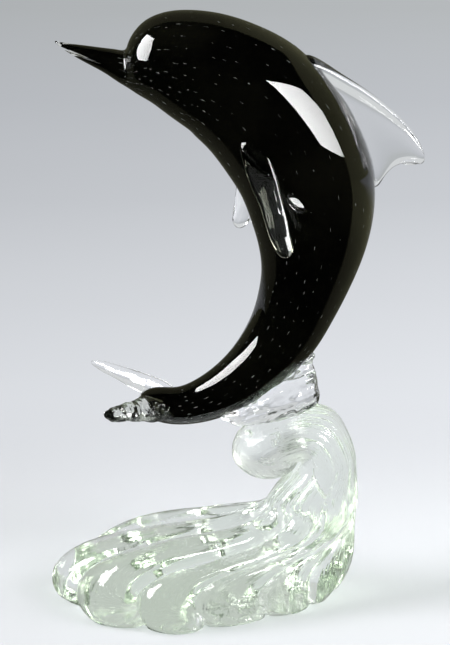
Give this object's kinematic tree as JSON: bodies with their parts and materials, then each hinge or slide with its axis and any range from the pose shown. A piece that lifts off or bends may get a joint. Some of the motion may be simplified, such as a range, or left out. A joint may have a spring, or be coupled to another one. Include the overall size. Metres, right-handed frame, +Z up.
{
  "type": "dolphin figurine",
  "caption": "Leaping dolphin figurine in hot-worked glass: a dark cased body with clear fins, joined to a clear ribbed wave with a curled crest that stands on a fanned foot.",
  "frame": {"origin": "centre of the bounding box in plan, on the table under the wave's foot", "axes": "+Z up, the dolphin's beak and the wave's long toes point to -X, its near flank faces -Y"},
  "size_m": [0.221, 0.1226, 0.3552],
  "materials": {
    "dark_glass": "black-olive cased glass with rows of fine bubbles, fire polished",
    "clear_glass": "clear glass, fire polished",
    "wave_glass": "clear glass with a faint green tint in the thick parts, fire polished"
  },
  "bodies": {
    "root": {"dolphin_body": "dark_glass", "dorsal_fin": "clear_glass", "near_pectoral_fin": "clear_glass", "far_pectoral_fin": "clear_glass", "near_tail_fluke": "clear_glass", "far_tail_fluke": "clear_glass", "joining_pad": "clear_glass", "wave_base": "wave_glass"}
  },
  "joints": []
}
